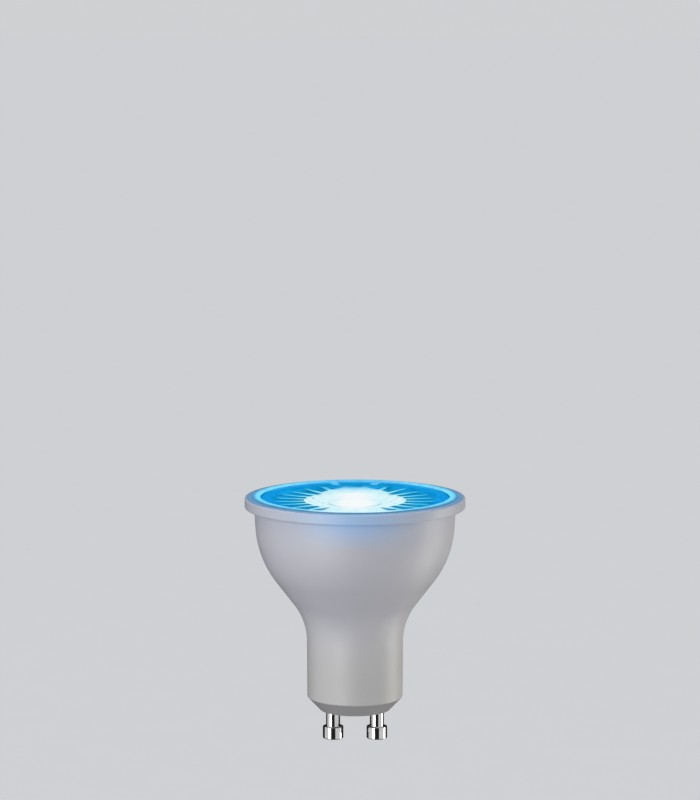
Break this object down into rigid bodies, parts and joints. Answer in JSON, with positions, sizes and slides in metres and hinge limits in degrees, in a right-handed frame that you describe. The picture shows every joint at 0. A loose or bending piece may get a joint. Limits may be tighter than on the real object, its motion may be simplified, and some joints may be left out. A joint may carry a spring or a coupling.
{
  "type": "led spotlight bulb",
  "caption": "Reflector-shaped LED spotlight lamp: white flared housing with a flanged rim, clear fluted lens lit blue, and a two-pin twist-and-lock base.",
  "frame": {"origin": "on the lamp's axis, midway between the tips of the two contact pins", "axes": "+Z along the axis towards the lens; the two pins lie on X; +Y completes the frame, and the lamp is seen from -Y"},
  "size_m": [0.05, 0.05, 0.0561],
  "materials": {
    "white_plastic": "satin",
    "clear_lens": "gloss",
    "pin_plating": "polished",
    "spreader_metal": "satin",
    "pad_rubber": "matte",
    "board_mask": "satin",
    "led_body": "satin",
    "led_gel": "gloss",
    "screw_steel": "satin",
    "driver_laminate": "satin",
    "resistor_coat": "satin",
    "capacitor_sleeve": "satin",
    "chip_epoxy": "matte",
    "chip_ceramic": "satin",
    "ferrite": "matte",
    "copper_wire": "gloss",
    "wire_red": "satin",
    "wire_grey": "satin",
    "wire_black": "satin"
  },
  "bodies": {
    "root": {"housing": "white_plastic", "lens": "clear_lens", "pin_left": "pin_plating", "pin_right": "pin_plating", "heat_spreader": "spreader_metal", "thermal_pad": "pad_rubber", "led_board": "board_mask", "board_screws": "screw_steel", "driver_board": "driver_laminate", "fuse_resistor": "resistor_coat", "input_capacitor": "capacitor_sleeve", "output_capacitor": "capacitor_sleeve", "bridge_rectifier": "chip_epoxy", "driver_chip": "chip_epoxy", "inductor_core": "ferrite", "inductor_winding": "copper_wire", "output_diode": "chip_epoxy", "sense_resistor_1": "chip_epoxy", "sense_resistor_2": "chip_epoxy", "bypass_capacitor": "chip_ceramic", "live_wire": "wire_red", "neutral_wire": "wire_grey", "led_positive_wire": "wire_red", "led_negative_wire": "wire_black", "led_1": "led_body", "led_2": "led_body", "led_3": "led_body", "led_4": "led_body", "led_5": "led_body", "led_6": "led_body", "led_7": "led_body", "led_gel_1": "led_gel", "led_gel_2": "led_gel", "led_gel_3": "led_gel", "led_gel_4": "led_gel", "led_gel_5": "led_gel", "led_gel_6": "led_gel", "led_gel_7": "led_gel"}
  },
  "joints": []
}
